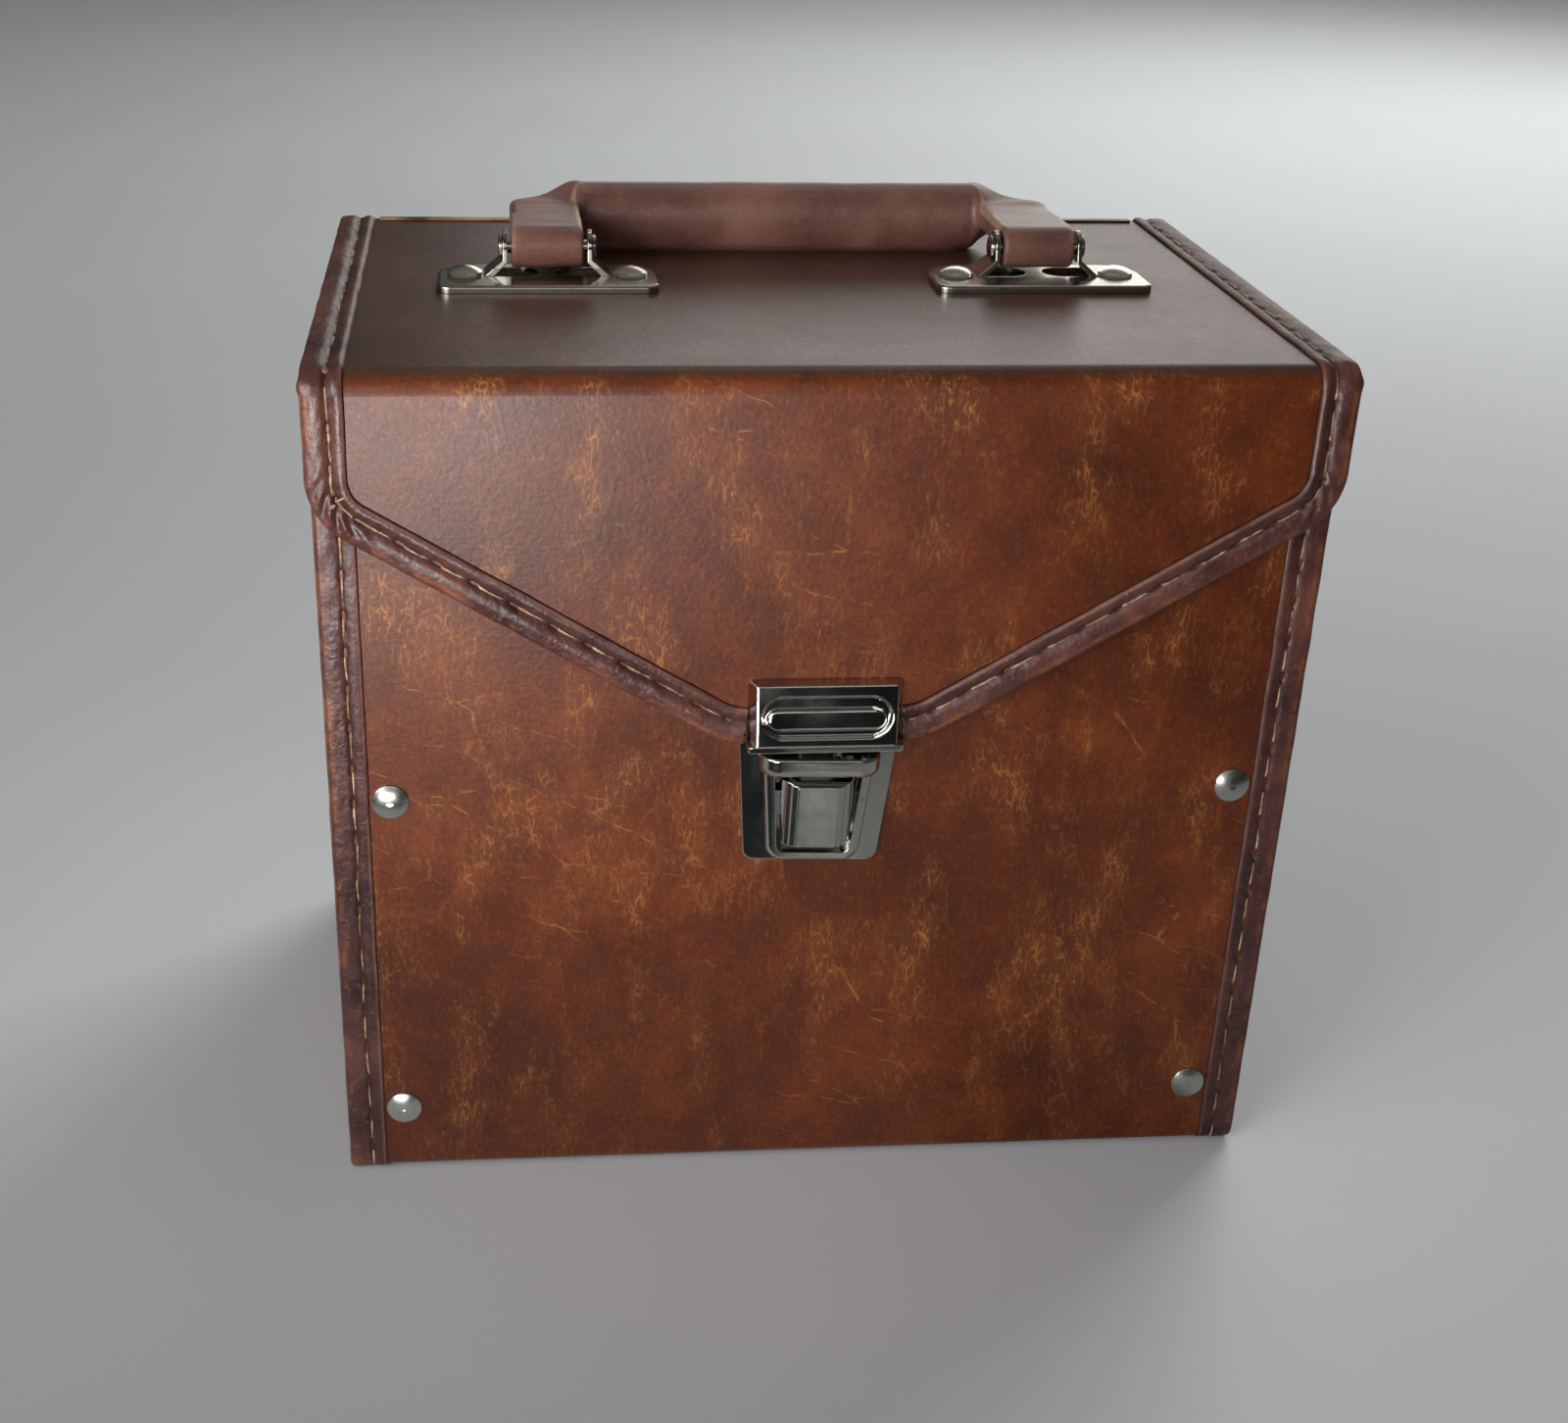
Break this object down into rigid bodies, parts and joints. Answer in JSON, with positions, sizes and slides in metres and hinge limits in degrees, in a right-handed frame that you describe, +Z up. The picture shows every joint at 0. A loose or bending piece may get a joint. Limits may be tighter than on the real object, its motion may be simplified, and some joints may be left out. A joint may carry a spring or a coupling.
{
  "type": "record carrying case",
  "caption": "Rigid leatherette record case with bound edges, a lid that hinges at the back and closes with a pointed front flap, a push-button tuck lock and a folding handle.",
  "frame": {"origin": "under the middle of the bounding box, on the surface the case stands on", "axes": "+X to the right seen from the front, +Y from the lock towards the hinge, +Z up"},
  "size_m": [0.215, 0.1512, 0.2087],
  "materials": {
    "board": "satin",
    "binding": "satin",
    "strip": "satin",
    "handle_leather": "satin",
    "nickel": "polished",
    "steel": "satin",
    "lining": "matte",
    "cord": "matte"
  },
  "bodies": {
    "case": {"body_wrap": "board", "side_panel_left": "board", "side_panel_right": "board", "body_binding_left": "binding", "body_binding_right": "binding", "front_cap_rivets": "nickel", "back_cap_rivets": "nickel", "rivet_washers": "nickel", "wrap_lining": "lining", "side_lining_left": "lining", "side_lining_right": "lining", "lock_base_plate": "nickel", "lock_housing": "nickel", "lock_back_plate": "steel", "lock_spring": "steel"},
    "lid": {"lid_board": "board", "lid_lining": "lining", "lid_binding_left": "binding", "lid_binding_right": "binding", "hinge_strip": "strip", "hasp_cap": "nickel", "hasp_tongue": "nickel", "hasp_back_plate": "steel", "handle_bracket_left": "nickel", "handle_bracket_right": "nickel", "bracket_rivets": "nickel", "backing_strip_left": "steel", "backing_strip_right": "steel", "handle_pin_left": "nickel", "handle_pin_right": "nickel"},
    "handle": {"handle_cover": "handle_leather", "handle_core": "cord"},
    "button": {"lock_button": "nickel", "lock_catch": "steel"}
  },
  "joints": [
    {"name": "lid_hinge", "type": "hinge", "parent": "case", "child": "lid", "pos_m": [0, 0.07465, 0.1909], "axis": [-1, 0, 0], "range_deg": [0, 180], "deforming": ["hinge_strip"]},
    {"name": "handle_hinge", "type": "hinge", "parent": "lid", "child": "handle", "pos_m": [0, 0.00745, 0.2006], "axis": [1, 0, 0], "range_deg": [0, 175]},
    {"name": "lock_button_slide", "type": "slide", "parent": "case", "child": "button", "axis": [0, 1, 0], "range_m": [0, 0.002], "stiffness_N_per_m": 300, "springref_m": -0.003, "deforming": ["lock_spring"]}
  ]
}
